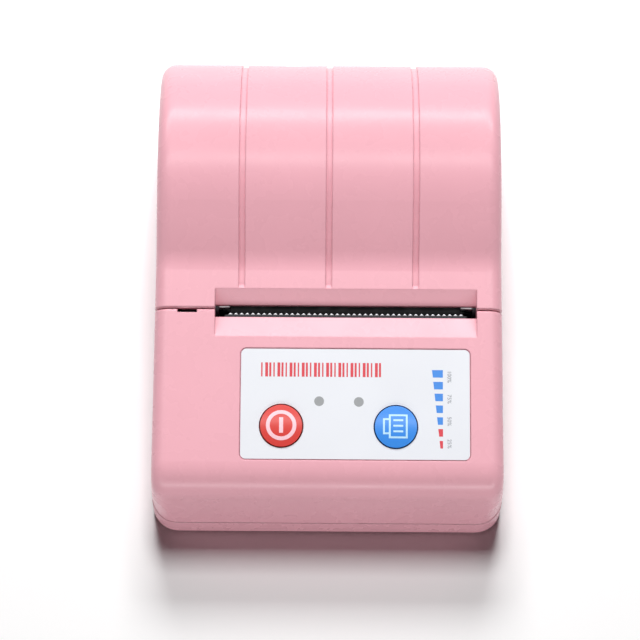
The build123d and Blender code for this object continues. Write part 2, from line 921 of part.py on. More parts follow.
def paper_guide():
    # Wraps under the platen and runs up to the cradle's lip
    near = platen_radius + guide_gap
    far = near + cradle_wall
    ring = Circle(far) - Circle(near)
    arc = Pos(platen_y, platen_z) * (ring & sector(3 * far, guide_start_angle, guide_end_angle))
    end = radians(guide_end_angle)
    out = Vector(cos(end), sin(end))
    along = Vector(-sin(end), cos(end))
    base = Vector(platen_y, platen_z)
    length = (cradle_y - cradle_radius - cradle_wall - contact_gap - base.X - far * out.X) / along.X
    low_end = base + out * near
    high_end = base + out * far
    corners = (low_end, low_end + along * length, high_end + along * length, high_end)
    ramp = make_face(Polyline(*[(c.X, c.Y) for c in corners], close=True))
    form = prism(arc.face(), cradle_left, cradle_right) + prism(ramp, cradle_left, cradle_right)
    low = platen_z - far
    for left, right in ((left_plate_inner, cradle_left), (cradle_right, right_plate_inner)):
        form += block(left, right, platen_y - ear_half, platen_y + ear_half, low, low + cradle_wall)
    half = sensor_window / 2
    front = platen_y - half
    return form - block(sensor_x - half, sensor_x + half, front, platen_y + half, low - wall, low + 2 * wall)


def paper_sensor():
    top = platen_z - platen_radius - guide_gap - cradle_wall
    left = sensor_x - sensor_width / 2
    front = platen_y - ear_half
    return block(left, left + sensor_width, front, platen_y + ear_half, top - sensor_height, top)


def paper_bay():
    # Trough for the roll with an end wall at each side
    outer = cradle_radius + cradle_wall
    ends = Circle(outer)
    trough = Circle(outer) - Circle(cradle_radius)
    wedge = sector(2 * outer, cradle_lip_angle, cradle_back_angle)
    place = Pos(cradle_y, cradle_z)
    form = prism((place * (trough & wedge)).face(), cradle_left - cradle_wall, cradle_right + cradle_wall)
    wall_face = (place * (ends & wedge)).face()
    form += prism(wall_face, cradle_left - cradle_wall, cradle_left)
    form += prism(wall_face, cradle_right, cradle_right + cradle_wall)
    span = roll_radius / 2
    high = cradle_z - cradle_radius
    for x in (cradle_left - cradle_wall, cradle_right):
        form += block(x, x + cradle_wall, cradle_y - span, cradle_y + span, tray_top, high)
    return form


def print_head():
    low = pivot_z - head_pivot_rise
    high = platen_z + head_top_rise - contact_gap
    plate = block(head_left, head_right, head_face_y - head_thickness, head_face_y, low, high)
    half = heater_line_width / 2
    line_back = head_face_y + heater_line_rise
    line = block(head_left + 2, head_right - 2, head_face_y, line_back, platen_z - half, platen_z + half)
    return plate + line


def head_heat_sink():
    low = pivot_z - head_pivot_rise - 0.5
    back = head_face_y - head_thickness
    high = platen_z + head_top_rise
    form = block(head_left, head_right, sink_y, back, low, high)
    spacing = (head_right - head_left) / (rib_count + 1)
    for rib in range(rib_count):
        left = head_left + (rib + 1) * spacing - rib_slot_width / 2
        form -= block(left, left + rib_slot_width, sink_y, sink_y + rib_slot_depth, flex_z() + 1.5, high)
    form += rod(pivot_y, pivot_z, head_pin_radius, left_plate_outer, head_left)
    form += rod(pivot_y, pivot_z, head_pin_radius, head_right, right_plate_outer)
    return form


def head_spring():
    # Leaf on the cross wall whose fingers press on the heat sink
    back = frame_front_y + plate_thickness
    high = platen_z + head_top_rise - 1
    low = high - spring_height
    left = head_left + spring_inset
    form = block(left, head_right - spring_inset, back, back + spring_thickness, low, high)
    tip_y = sink_y - finger_gap
    tip_z = low - finger_drop
    points = (
        (back, low),
        (back + spring_thickness, low),
        (tip_y, tip_z),
        (tip_y - spring_thickness, tip_z - spring_thickness / 2),
        (back, low - 2 * spring_thickness),
    )
    for finger in range(finger_count):
        x = head_left + (head_right - head_left) * (finger + 0.5) / finger_count
        form += side_polygon(points, x - finger_width / 2, x + finger_width / 2)
    return form


def flex_z():
    depth = (board_depth + board_thickness) / cos(slope)
    return deck_z(board_back_y - 2) - depth - connector_height / 2


def head_flex():
    left = flex_x - flex_width / 2
    low = flex_z() - flex_thickness / 2
    front = board_back_y - connector_length / 2
    return block(left, left + flex_width, front, sink_y - contact_gap, low, low + flex_thickness)


def flex_connector():
    back = board_back_y - 0.7
    up = (back - connector_length / 2 - panel_y) / cos(slope)
    place = deck_plane(flex_x, up, board_depth + board_thickness)
    body = place * extrude(Rectangle(flex_width + 2, connector_length), -connector_height)
    left = flex_x - flex_width / 2
    low = flex_z() - slit_height / 2
    front = board_back_y - connector_length / 2
    return body - block(left, left + flex_width, front, board_back_y + wall, low, low + slit_height)


def board_face():
    low = (board_front_y - panel_y) / cos(slope)
    high = (board_back_y - panel_y) / cos(slope)
    middle = Pos((board_left + board_right) / 2, (low + high) / 2)
    return middle * Rectangle(board_right - board_left, high - low)


def main_board():
    place = deck_plane(0, 0, board_depth + board_thickness)
    form = place * extrude(board_face(), board_thickness)
    for x, y in board_posts():
        hole = extrude(Circle(board_screw_radius), board_thickness)
        form -= deck_plane(x, y, board_depth + board_thickness) * hole
    return form


def tact_switches():
    switches = []
    for at in (power_button_at, feed_button_at):
        body = on_panel(at, board_depth) * extrude(Rectangle(switch_side, switch_side), switch_height)
        plunger = on_panel(at, board_depth - switch_height) * extrude(Circle(plunger_radius), plunger_height)
        switches.append(body + plunger)
    return switches


def push_button(at):
    # Domed cap with a flange under the deck and a stem over its switch
    edge = button_rise - button_crown
    crown = (button_radius**2 + button_crown**2) / (2 * button_crown)
    skirt = -flange_depth
    stem = -(plunger_depth - button_travel - slip_gap / 2)
    outline = Polyline(
        (0, stem),
        (plunger_radius, stem),
        (plunger_radius, skirt),
        (button_flange, skirt),
        (button_flange, skirt + button_flange_thickness),
        (button_radius, skirt + button_flange_thickness),
        (button_radius, edge),
    )
    top = RadiusArc((button_radius, edge), (0, button_rise), -crown)
    face = make_face([outline, top, Line((0, button_rise), (0, stem))])
    cap = revolve(Plane.XZ * face, Axis.Z)
    return on_panel(at) * cap


def panel_overlay():
    face = RectangleRounded(panel_width, panel_length, panel_corner)
    for x, y in (power_button_at, feed_button_at):
        face -= Pos(x, y) * Circle(button_radius + contact_gap)
    for x, y in lamps_at:
        face -= Pos(x, y) * Circle(lamp_radius)
    return deck_plane(depth=panel_thickness) * extrude(face, panel_thickness)


def lamp_windows():
    depth = board_depth - lamp_chip_height - contact_gap
    return [on_panel(at, depth) * extrude(Circle(lamp_radius), depth) for at in lamps_at]


def indicator_leds():
    chip = extrude(Rectangle(lamp_chip_width, lamp_chip_width / 2), lamp_chip_height)
    return [on_panel(at, board_depth) * chip for at in lamps_at]


def usb_socket():
    drawn_in = (deck_z(panel_y) - band_height) * tan(radians(side_draft))
    mouth = body_width / 2 - wall - band_ledge - drawn_in - slip_gap
    place = deck_plane(mouth, 0, board_depth - socket_height / 2)
    turn = Rot(0, 90, 0)
    shell = extrude(turn * RectangleRounded(socket_height, socket_width, socket_corner), -socket_length)
    walls = 2 * socket_wall
    mouth_face = RectangleRounded(socket_height - walls, socket_width - walls, socket_corner - socket_wall)
    shell -= extrude(turn * mouth_face, 1 - socket_length)
    tongue = Rectangle(tongue_thickness, socket_width - 2 * socket_corner)
    return place * (shell + extrude(turn * tongue, socket_wall - socket_length))


def wireless_module():
    place = deck_plane(module_x, 2.5, board_depth)
    base = extrude(Rectangle(module_width, module_length), module_base)
    shield = extrude(Rectangle(module_width - 1, module_length - 3), module_height - module_base)
    return place * (base + Pos(0, -1, module_base) * shield)


def battery_pack():
    low = tray_top + contact_gap
    half = battery_width / 2
    pack = block(-half, half, battery_front_y, battery_back_y, low, low + battery_height)
    return fillet(pack.edges().filter_by(Axis.X), battery_edge)


def battery_contacts():
    blades = []
    for step in range(blade_count):
        y = battery_front_y + blade_pitch * (step + 2)
        low = tray_top + 1
        right = door_half_width + door_gap
        blades.append(block(battery_width / 2, right, y, y + blade_width, low, low + blade_height))
    return blades


def battery_door():
    axis = Pos(door_axis_y, door_axis_z) * Circle(tray_thickness / 2)
    slab = Polyline(
        (door_axis_y, foot_proud),
        (door_back_y, foot_proud),
        (door_back_y, tray_top),
        (door_axis_y, tray_top),
        close=True,
    )
    form = prism((axis + make_face(slab)).face(), -door_half_width, door_half_width)
    hook = (
        (door_axis_y - hook_reach, tray_top + door_gap),
        (door_axis_y - hook_reach, tray_top + door_gap + hook_thickness),
        (door_axis_y + hook_root, tray_top + door_gap + hook_thickness),
        (door_axis_y + hook_root, door_axis_z),
        (door_axis_y, door_axis_z),
        (door_axis_y, tray_top + door_gap),
    )
    for side in (-1, 1):
        x = side * hook_x
        form += side_polygon(hook, x - hook_width / 2, x + hook_width / 2)
    grip = Pos(0, door_back_y - grip_inset, foot_proud) * SlotOverall(grip_length, grip_width)
    return form - extrude(grip, grip_depth)


def save(name, shape):
    solids = [s for item in (shape if isinstance(shape, list) else [shape]) for s in item.solids()]
    moved = [Pos(0, -body_length / 2, 0) * s for s in solids]
    export_step(Compound(moved) if len(moved) > 1 else moved[0], f"parts/{name}.step")


def main():
    os.makedirs("parts", exist_ok=True)
    makers = (
        lower_housing, upper_housing, paper_cover, hinge_pins, rubber_feet, housing_screws, battery_door,
        panel_overlay, lamp_windows, tear_bar, mechanism_frame, mechanism_screws, paper_guide, paper_sensor,
        paper_bay, print_head, head_heat_sink, head_spring, head_flex, flex_connector, platen_shaft,
        platen_rubber, platen_gear, platen_bushings, idler_gear, idler_axle, motor_can, motor_shaft,
        motor_pinion, main_board, tact_switches, indicator_leds, usb_socket, wireless_module, battery_pack,
        battery_contacts,
    )
    for maker in makers:
        save(maker.__name__, maker())
    save("power_button", push_button(power_button_at))
    save("feed_button", push_button(feed_button_at))


if __name__ == "__main__":
    main()
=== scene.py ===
import math

import bmesh
import bpy
from bpy.props import FloatProperty, FloatVectorProperty, IntProperty, PointerProperty
from bpy.types import Operator, Panel, PropertyGroup
from mathutils import Matrix, Vector


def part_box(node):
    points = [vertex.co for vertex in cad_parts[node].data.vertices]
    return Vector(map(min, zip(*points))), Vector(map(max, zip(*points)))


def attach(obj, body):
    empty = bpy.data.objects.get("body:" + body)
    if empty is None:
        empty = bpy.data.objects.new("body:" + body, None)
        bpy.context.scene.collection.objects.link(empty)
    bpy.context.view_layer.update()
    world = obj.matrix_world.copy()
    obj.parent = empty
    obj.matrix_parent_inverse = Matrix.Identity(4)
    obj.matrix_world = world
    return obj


bl_info = {
    "name": "Thermal receipt printer",
    "version": (1, 0, 0),
    "blender": (4, 5, 0),
    "location": "3D View > Sidebar > Printer",
    "description": "Dresses a portable receipt printer and sets it on a photo table",
    "category": "Object",
}

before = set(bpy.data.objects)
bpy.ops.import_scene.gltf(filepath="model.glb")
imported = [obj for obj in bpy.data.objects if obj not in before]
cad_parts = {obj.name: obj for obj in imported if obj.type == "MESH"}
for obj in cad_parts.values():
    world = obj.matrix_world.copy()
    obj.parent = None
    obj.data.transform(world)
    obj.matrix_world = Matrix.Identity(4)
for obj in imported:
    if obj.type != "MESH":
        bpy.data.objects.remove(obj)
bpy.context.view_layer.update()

MM = 0.001
SLOPE = math.radians(12.0)
BUTTON_RADIUS = 4.7 * MM
BUTTON_CROWN = 0.7 * MM
BUTTON_RISE = 1.0 * MM
POWER_UP = -5.0 * MM
FEED_UP = -5.1 * MM

# The middle of the control panel on the sloping deck, and the deck's own directions
panel_low, panel_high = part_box("panel_overlay")
PANEL_AT = Vector(((panel_low.x + panel_high.x) / 2, (panel_low.y + panel_high.y) / 2, 0))
PANEL_AT.z = panel_high.z - (panel_high.y - PANEL_AT.y) * math.tan(SLOPE)
UP_SLOPE = Vector((0, math.cos(SLOPE), math.sin(SLOPE)))
OUTWARD = Vector((0, -math.sin(SLOPE), math.cos(SLOPE)))

# Where the camera stands and how far the lights are, in metres
CAMERA_AT = (-0.0019, -0.2483, 0.5833)
CAMERA_TILT = math.radians(23)
CAMERA_ROLL = math.radians(0.4)
LIGHT_AIM = (0, 0, 0.02)
LIGHT_REACH = 1.1
LIGHT_WIDTH = 2.2
FLOOR_REACH = 6


# Values a user would change

class CasingLook(PropertyGroup):
    casing: FloatVectorProperty(
        name="Casing", description="Colour of the moulded casing", subtype="COLOR", min=0, max=1,
        default=(0.830, 0.416, 0.482),
    )
    inside: FloatVectorProperty(
        name="Inside", description="Colour of the paper bay", subtype="COLOR", min=0, max=1,
        default=(0.700, 0.340, 0.400),
    )
    feet: FloatVectorProperty(
        name="Feet", description="Colour of the rubber feet", subtype="COLOR", min=0, max=1,
        default=(0.520, 0.260, 0.310),
    )
    roughness: FloatProperty(
        name="Roughness", description="Roughness of the casing's satin skin", default=0.27, min=0.05, max=1,
    )
    grain: FloatProperty(
        name="Grain", description="Width of the fine grain in the casing's skin", unit="LENGTH",
        default=0.00028, min=0.00005, max=0.002,
    )
    edge: FloatProperty(
        name="Edge", description="Radius by which the casing's edges look rounded", unit="LENGTH",
        default=0.0004, min=0, max=0.001, precision=5,
    )


class PanelLook(PropertyGroup):
    film: FloatVectorProperty(
        name="Film", description="Colour of the panel film", subtype="COLOR", min=0, max=1,
        default=(0.770, 0.785, 0.830),
    )
    power: FloatVectorProperty(
        name="Power button", description="Colour of the power button", subtype="COLOR", min=0, max=1,
        default=(0.690, 0.045, 0.035),
    )
    feed: FloatVectorProperty(
        name="Feed button", description="Colour of the feed button", subtype="COLOR", min=0, max=1,
        default=(0.035, 0.260, 0.800),
    )
    lamp: FloatVectorProperty(
        name="Lamp windows", description="Colour of the unlit lamp windows", subtype="COLOR", min=0, max=1,
        default=(0.300, 0.310, 0.320),
    )
    red_print: FloatVectorProperty(
        name="Red print", description="Colour of the red marks", subtype="COLOR", min=0, max=1,
        default=(0.640, 0.030, 0.050),
    )
    blue_print: FloatVectorProperty(
        name="Blue print", description="Colour of the blue bars", subtype="COLOR", min=0, max=1,
        default=(0.035, 0.235, 0.720),
    )


class MarkSizes(PropertyGroup):
    ring_radius: FloatProperty(
        name="Ring radius", description="Outer radius of the power sign's ring", unit="LENGTH",
        default=0.0034, min=0.001, max=0.0042,
    )
    ring_width: FloatProperty(
        name="Ring width", description="Width of the ring's line", unit="LENGTH",
        default=0.00085, min=0.0002, max=0.002,
    )
    stroke_height: FloatProperty(
        name="Stroke height", description="Height of the stroke in the ring", unit="LENGTH", default=0.0035,
        min=0.001, max=0.005,
    )
    bar_count: IntProperty(name="Bars", description="Bars of the battery gauge", default=7, min=3, max=12)
    bar_pitch: FloatProperty(
        name="Bar pitch", description="Distance from one gauge bar to the next", unit="LENGTH",
        default=0.00267, min=0.001, max=0.005,
    )
    bar_height: FloatProperty(
        name="Bar height", description="Height of one gauge bar", unit="LENGTH", default=0.0017, min=0.0005,
        max=0.003,
    )
    number_height: FloatProperty(
        name="Number height", description="Height of the gauge's numbers", unit="LENGTH", default=0.00125,
        min=0.0005, max=0.003,
    )
    print_rise: FloatProperty(
        name="Print thickness", description="Thickness of the printed marks", unit="LENGTH",
        default=0.00003, min=0.00001, max=0.0002, precision=5,
    )


class StageLook(PropertyGroup):
    floor: FloatVectorProperty(
        name="Floor", description="Colour of the light that the floor sends back", subtype="COLOR",
        min=0, max=1, default=(0.45, 0.45, 0.46),
    )
    back_strip: FloatProperty(
        name="Back strip", description="Power of the strip light behind", default=15.0, min=0,
    )
    canopy: FloatProperty(
        name="Canopy", description="Power of the light between the strips", default=2.5, min=0,
    )
    top_strip: FloatProperty(
        name="Top strip", description="Power of the strip light above", default=8.6, min=0,
    )
    front_strip: FloatProperty(
        name="Front strip", description="Power of the low light in front", default=9.0, min=0,
    )
    floor_near: FloatProperty(
        name="Near floor", description="Power of the floor's steep light", default=7.3, min=0,
    )
    floor_far: FloatProperty(
        name="Far floor", description="Power of the floor's slanting light", default=9.6, min=0,
    )
    surround: FloatProperty(
        name="Surround", description="Strength of the light all round", default=0.0, min=0,
    )
    lens: FloatProperty(
        name="Lens", description="Focal length of the camera", subtype="DISTANCE_CAMERA",
        default=149.6, min=20, max=300,
    )


# Finishes

def new_material(name):
    material = bpy.data.materials.new(name)
    material.use_nodes = True
    nodes = material.node_tree.nodes
    shader = next(n for n in nodes if n.type == "BSDF_PRINCIPLED")
    return material, nodes, material.node_tree.links, shader


def pattern_place(nodes, links, stretch=(1, 1, 1)):
    where = nodes.new("ShaderNodeTexCoord")
    mapping = nodes.new("ShaderNodeMapping")
    mapping.inputs["Scale"].default_value = stretch
    links.new(where.outputs["Object"], mapping.inputs["Vector"])
    return mapping.outputs["Vector"]


def noise(nodes, links, place, size, detail=2.0):
    texture = nodes.new("ShaderNodeTexNoise")
    texture.inputs["Scale"].default_value = 1 / size
    texture.inputs["Detail"].default_value = detail
    links.new(place, texture.inputs["Vector"])
    return texture.outputs["Fac"]


def spread(nodes, links, value, low, high):
    span = nodes.new("ShaderNodeMapRange")
    span.inputs["From Min"].default_value = 0.3
    span.inputs["From Max"].default_value = 0.7
    span.inputs["To Min"].default_value = low
    span.inputs["To Max"].default_value = high
    links.new(value, span.inputs["Value"])
    return span.outputs["Result"]


def two_tone(nodes, links, value, first, second):
    mix = nodes.new("ShaderNodeMix")
    mix.data_type = "RGBA"
    mix.inputs["A"].default_value = (*first, 1)
    mix.inputs["B"].default_value = (*second, 1)
    links.new(value, mix.inputs["Factor"])
    return mix.outputs["Result"]


def shade(colour, factor):
    return tuple(min(1.0, c * factor) for c in colour)


def bumps(nodes, links, height, shader, depth, soften=0.0):
    """A fine relief; soften is the radius by which the edges look rounded."""
    bump = nodes.new("ShaderNodeBump")
    if soften:
        edge = nodes.new("ShaderNodeBevel")
        edge.samples = 6
        edge.inputs["Radius"].default_value = soften
        links.new(edge.outputs["Normal"], bump.inputs["Normal"])
    bump.inputs["Distance"].default_value = depth
    bump.inputs["Strength"].default_value = 0.5
    links.new(height, bump.inputs["Height"])
    links.new(bump.outputs["Normal"], shader.inputs["Normal"])


def moulded(name, colour, roughness=0.4, grain=0.0003, depth=0.000012, gloss=0.5, coat=0.0, soften=0.0):
    """Moulded plastic: a fine grain, a cloudy tint and a roughness that wanders a little."""
    material, nodes, links, shader = new_material(name)
    place = pattern_place(nodes, links)
    cloud = spread(nodes, links, noise(nodes, links, place, 0.018), 0, 1)
    tint = two_tone(nodes, links, cloud, shade(colour, 0.985), shade(colour, 1.015))
    links.new(tint, shader.inputs["Base Color"])
    smooth, dull = roughness - 0.025, roughness + 0.035
    wander = spread(nodes, links, noise(nodes, links, place, 0.006, 3), smooth, dull)
    links.new(wander, shader.inputs["Roughness"])
    bumps(nodes, links, noise(nodes, links, place, grain, 3), shader, depth, soften=soften)
    shader.inputs["Specular IOR Level"].default_value = gloss
    shader.inputs["Coat Weight"].default_value = coat
    shader.inputs["Coat Roughness"].default_value = 0.12
    return material


def metal(name, colour, roughness=0.3, depth=0.000006):
    """Metal with a drawn or rolled grain that runs along x."""
    material, nodes, links, shader = new_material(name)
    place = pattern_place(nodes, links, (0.05, 1, 1))
    lines = noise(nodes, links, place, 0.0004, 4)
    cloud = spread(nodes, links, noise(nodes, links, place, 0.004), 0, 1)
    tint = two_tone(nodes, links, cloud, shade(colour, 0.92), shade(colour, 1.04))
    links.new(tint, shader.inputs["Base Color"])
    links.new(spread(nodes, links, lines, roughness - 0.06, roughness + 0.1), shader.inputs["Roughness"])
    bumps(nodes, links, lines, shader, depth)
    shader.inputs["Metallic"].default_value = 1.0
    return material


def blade(name, colour, tip_highlight):
    """Dark steel with a painted highlight: a lighter metal colour along the tooth points at the piece's
    back edge.
    """
    material, nodes, links, shader = new_material(name)
    place = pattern_place(nodes, links)
    split = nodes.new("ShaderNodeSeparateXYZ")
    links.new(place, split.inputs["Vector"])
    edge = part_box("tear_bar")[1].y
    # Painted highlight along the tooth points: the lighter colour fades in from 0.45 mm before the back
    # edge and is full from 0.15 mm.
    highlight_start, ground = 0.45 * MM, 0.15 * MM
    points = nodes.new("ShaderNodeMapRange")
    points.inputs["From Min"].default_value = edge - highlight_start
    points.inputs["From Max"].default_value = edge - ground
    links.new(split.outputs["Y"], points.inputs["Value"])
    links.new(two_tone(nodes, links, points.outputs["Result"], colour, tip_highlight), shader.inputs["Base Color"])
    rough = spread(nodes, links, noise(nodes, links, place, 0.0004, 4), 0.4, 0.55)
    links.new(rough, shader.inputs["Roughness"])
    shader.inputs["Metallic"].default_value = 0.85
    return material


def rubber(name, colour):
    material, nodes, links, shader = new_material(name)
    place = pattern_place(nodes, links)
    dust = spread(nodes, links, noise(nodes, links, place, 0.003, 4), 0, 1)
    links.new(two_tone(nodes, links, dust, colour, shade(colour, 1.5)), shader.inputs["Base Color"])
    links.new(spread(nodes, links, dust, 0.62, 0.8), shader.inputs["Roughness"])
    bumps(nodes, links, noise(nodes, links, place, 0.00018, 3), shader, 0.00003)
    shader.inputs["Specular IOR Level"].default_value = 0.35
    return material


# Flat ink for the printed marks; the screw crosses also use it as painted shade.
def ink_for_print_and_shade(name, colour):
    material, nodes, links, shader = new_material(name)
    place = pattern_place(nodes, links)
    dots = spread(nodes, links, noise(nodes, links, place, 0.0004, 2), 0, 1)
    tint = two_tone(nodes, links, dots, shade(colour, 0.96), shade(colour, 1.05))
    links.new(tint, shader.inputs["Base Color"])
    links.new(spread(nodes, links, dots, 0.3, 0.4), shader.inputs["Roughness"])
    return material


def circuit_board(name):
    """Solder mask over copper tracks: lighter lines where the tracks run."""
    material, nodes, links, shader = new_material(name)
    place = pattern_place(nodes, links)
    tracks = nodes.new("ShaderNodeTexBrick")
    tracks.inputs["Scale"].default_value = 1
    tracks.inputs["Brick Width"].default_value = 0.0065
    tracks.inputs["Row Height"].default_value = 0.0011
    tracks.inputs["Mortar Size"].default_value = 0.00016
    tracks.inputs["Color1"].default_value = (0.008, 0.105, 0.040, 1)
    tracks.inputs["Color2"].default_value = (0.010, 0.125, 0.048, 1)
    tracks.inputs["Mortar"].default_value = (0.035, 0.250, 0.100, 1)
    links.new(place, tracks.inputs["Vector"])
    links.new(tracks.outputs["Color"], shader.inputs["Base Color"])
    rough = spread(nodes, links, noise(nodes, links, place, 0.002), 0.28, 0.4)
    links.new(rough, shader.inputs["Roughness"])
    bumps(nodes, links, tracks.outputs["Fac"], shader, 0.00002)
    return material


def dress(material, *names):
    for name in names:
        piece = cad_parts[name]
        if not piece.material_slots:
            piece.data.materials.append(material)
        for slot in piece.material_slots:
            slot.material = material


# Making pieces

def on_deck(across, up, rise=0.0):
    return PANEL_AT + Vector((across, 0, 0)) + UP_SLOPE * up + OUTWARD * rise


def deck_matrix(across=0.0, up=0.0, rise=0.0, turn=0.0):
    axes = Matrix.Identity(4)
    for column, axis in enumerate((Vector((1, 0, 0)), UP_SLOPE, OUTWARD)):
        for row in range(3):
            axes[row][column] = axis[row]
    return Matrix.Translation(on_deck(across, up, rise)) @ axes @ Matrix.Rotation(turn, 4, "Z")


def finished(mesh, name, material, body):
    piece = bpy.data.objects.new(name, mesh)
    bpy.context.scene.collection.objects.link(piece)
    piece.data.materials.clear()
    piece.data.materials.append(material)
    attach(piece, body)
    return piece


def from_bmesh(shape, name, material, body):
    bmesh.ops.recalc_face_normals(shape, faces=shape.faces)
    mesh = bpy.data.meshes.new(name)
    shape.to_mesh(mesh)
    shape.free()
    return finished(mesh, name, material, body)


def raise_faces(shape, height):
    """Gives flat faces a thickness, down from where they are drawn."""
    grown = bmesh.ops.extrude_face_region(shape, geom=list(shape.faces))
    moved = [v for v in grown["geom"] if isinstance(v, bmesh.types.BMVert)]
    bmesh.ops.translate(shape, verts=moved, vec=(0, 0, height))


def add_patch(shape, left, right, low, high, slant=0.0, rise=0.0):
    """A flat four-sided patch; slant moves the lower end of its left side to the right."""
    made = bmesh.ops.create_grid(shape, x_segments=1, y_segments=1, size=0.5)["verts"]
    for vert in made:
        share = vert.co.y + 0.5
        start = left + slant * (1 - share)
        vert.co = Vector((start + (right - start) * (vert.co.x + 0.5), low + (high - low) * share, rise))
    return made


def add_ring(shape, outer, inner, segments=72):
    """A flat ring made of two circles joined by faces."""
    loops = []
    for radius in (outer, inner):
        made = bmesh.ops.create_circle(shape, segments=segments, radius=radius)["verts"]
        loops += list({e for v in made for e in v.link_edges})
    bmesh.ops.bridge_loops(shape, edges=loops)


def crown_drop(distance):
    """How far a button's domed top has fallen at a distance from its middle."""
    ball = (BUTTON_RADIUS * BUTTON_RADIUS + BUTTON_CROWN * BUTTON_CROWN) / (2 * BUTTON_CROWN)
    return ball - math.sqrt(ball * ball - distance * distance)


def lay_on_crown(shape, rise):
    for vert in shape.verts:
        vert.co.z += rise - crown_drop(math.hypot(vert.co.x, vert.co.y))


def put_on_button(shape, node, up, print_rise):
    """Bends a flat mark over a button's crown and moves it there."""
    lay_on_crown(shape, print_rise / 3)
    low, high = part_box(node)
    across = (low.x + high.x) / 2 - PANEL_AT.x
    bmesh.ops.transform(shape, matrix=deck_matrix(across, up, BUTTON_RISE), verts=shape.verts)


# One operator for each group of pieces

class PRINTER_OT_casing(Operator):
    """Finishes the casing, cover, door, paper bay and feet"""
    bl_idname = "printer.casing"
    bl_label = "Casing"

    def execute(self, context):
        look = context.scene.printer_casing
        skin = moulded("casing_satin", look.casing, look.roughness, look.grain, gloss=0.3, soften=look.edge)
        dress(skin, "upper_housing", "lower_housing", "paper_cover", "battery_door")
        dress(moulded("bay_plastic", look.inside, 0.5), "paper_bay")
        dress(rubber("foot_rubber", look.feet), "rubber_feet")
        dress(metal("casing_steel", (0.55, 0.55, 0.56), 0.3), "hinge_pins", "housing_screws")
        return {"FINISHED"}


class PRINTER_OT_mechanism(Operator):
    """Finishes the platen, print head, gears, motor and frame"""
    bl_idname = "printer.mechanism"
    bl_label = "Mechanism"

    def execute(self, context):
        plated = metal("plated_steel", (0.50, 0.51, 0.53), 0.34)
        bright = metal("bright_steel", (0.62, 0.62, 0.63), 0.22)
        black = moulded("black_plastic", (0.014, 0.014, 0.015), 0.5)
        dress(plated, "mechanism_frame", "head_spring", "motor_can")
        dress(bright, "platen_shaft", "idler_axle", "motor_shaft", "mechanism_screws")
        dress(metal("bushing_steel", (0.10, 0.10, 0.11), 0.4), "platen_bushings")
        # The lighter third colour is the painted highlight on the tear bar's tooth points.
        dress(blade("blade_steel", (0.022, 0.022, 0.024), (0.55, 0.55, 0.57)), "tear_bar")
        dress(metal("head_aluminium", (0.66, 0.67, 0.68), 0.3), "head_heat_sink")
        dress(metal("pinion_brass", (0.72, 0.50, 0.20), 0.3, depth=0.000003), "motor_pinion")
        dress(moulded("gear_acetal", (0.022, 0.022, 0.024), 0.4), "platen_gear", "idler_gear")
        dress(rubber("platen_rubber", (0.010, 0.010, 0.011)), "platen_rubber")
        dress(moulded("head_ceramic", (0.75, 0.75, 0.72), 0.25, coat=0.4), "print_head")
        dress(black, "paper_guide", "paper_sensor")
        return {"FINISHED"}


class PRINTER_OT_electronics(Operator):
    """Finishes the board, sockets, switches, battery and cable"""
    bl_idname = "printer.electronics"
    bl_label = "Electronics"

    def execute(self, context):
        dress(circuit_board("board_mask"), "main_board")
        dress(moulded("switch_plastic", (0.020, 0.020, 0.022), 0.45), "tact_switches", "flex_connector")
        dress(metal("shield_tin", (0.58, 0.59, 0.60), 0.28), "usb_socket", "wireless_module")
        dress(moulded("battery_film", (0.030, 0.045, 0.110), 0.3, 0.0006), "battery_pack")
        dress(metal("contact_gold", (0.80, 0.56, 0.22), 0.25), "battery_contacts")
        dress(moulded("flex_film", (0.42, 0.16, 0.02), 0.3, 0.0006), "head_flex")
        dress(moulded("lamp_chip", (0.80, 0.76, 0.55), 0.25), "indicator_leds")
        return {"FINISHED"}


class PRINTER_OT_panel(Operator):
    """Finishes the panel film, buttons and lamp windows"""
    bl_idname = "printer.panel"
    bl_label = "Control panel"

    def execute(self, context):
        look = context.scene.printer_panel
        dress(moulded("panel_film", look.film, 0.3, 0.0005, 0.000004), "panel_overlay")
        dress(moulded("power_plastic", look.power, 0.3, 0.0005, 0.000004), "power_button")
        dress(moulded("feed_plastic", look.feed, 0.3, 0.0005, 0.000004), "feed_button")
        dress(moulded("lamp_lens", look.lamp, 0.3, 0.0005, 0.000004), "lamp_windows")
        return {"FINISHED"}


class PRINTER_OT_power_sign(Operator):
    """Prints the ring and stroke on the power button"""
    bl_idname = "printer.power_sign"
    bl_label = "Power sign"

    def execute(self, context):
        sizes = context.scene.printer_marks
        shape = bmesh.new()
        add_ring(shape, sizes.ring_radius, sizes.ring_radius - sizes.ring_width)
        half, stroke = sizes.stroke_height / 2, 0.45 * MM
        add_patch(shape, -stroke, stroke, -half, half)
        bmesh.ops.subdivide_edges(shape, edges=shape.edges[:], cuts=2, use_grid_fill=True)
        raise_faces(shape, sizes.print_rise)
        put_on_button(shape, "power_button", POWER_UP, sizes.print_rise)
        from_bmesh(shape, "power_sign", ink_for_print_and_shade("sign_pink", (1.0, 0.62, 0.68)), "power_key")
        return {"FINISHED"}


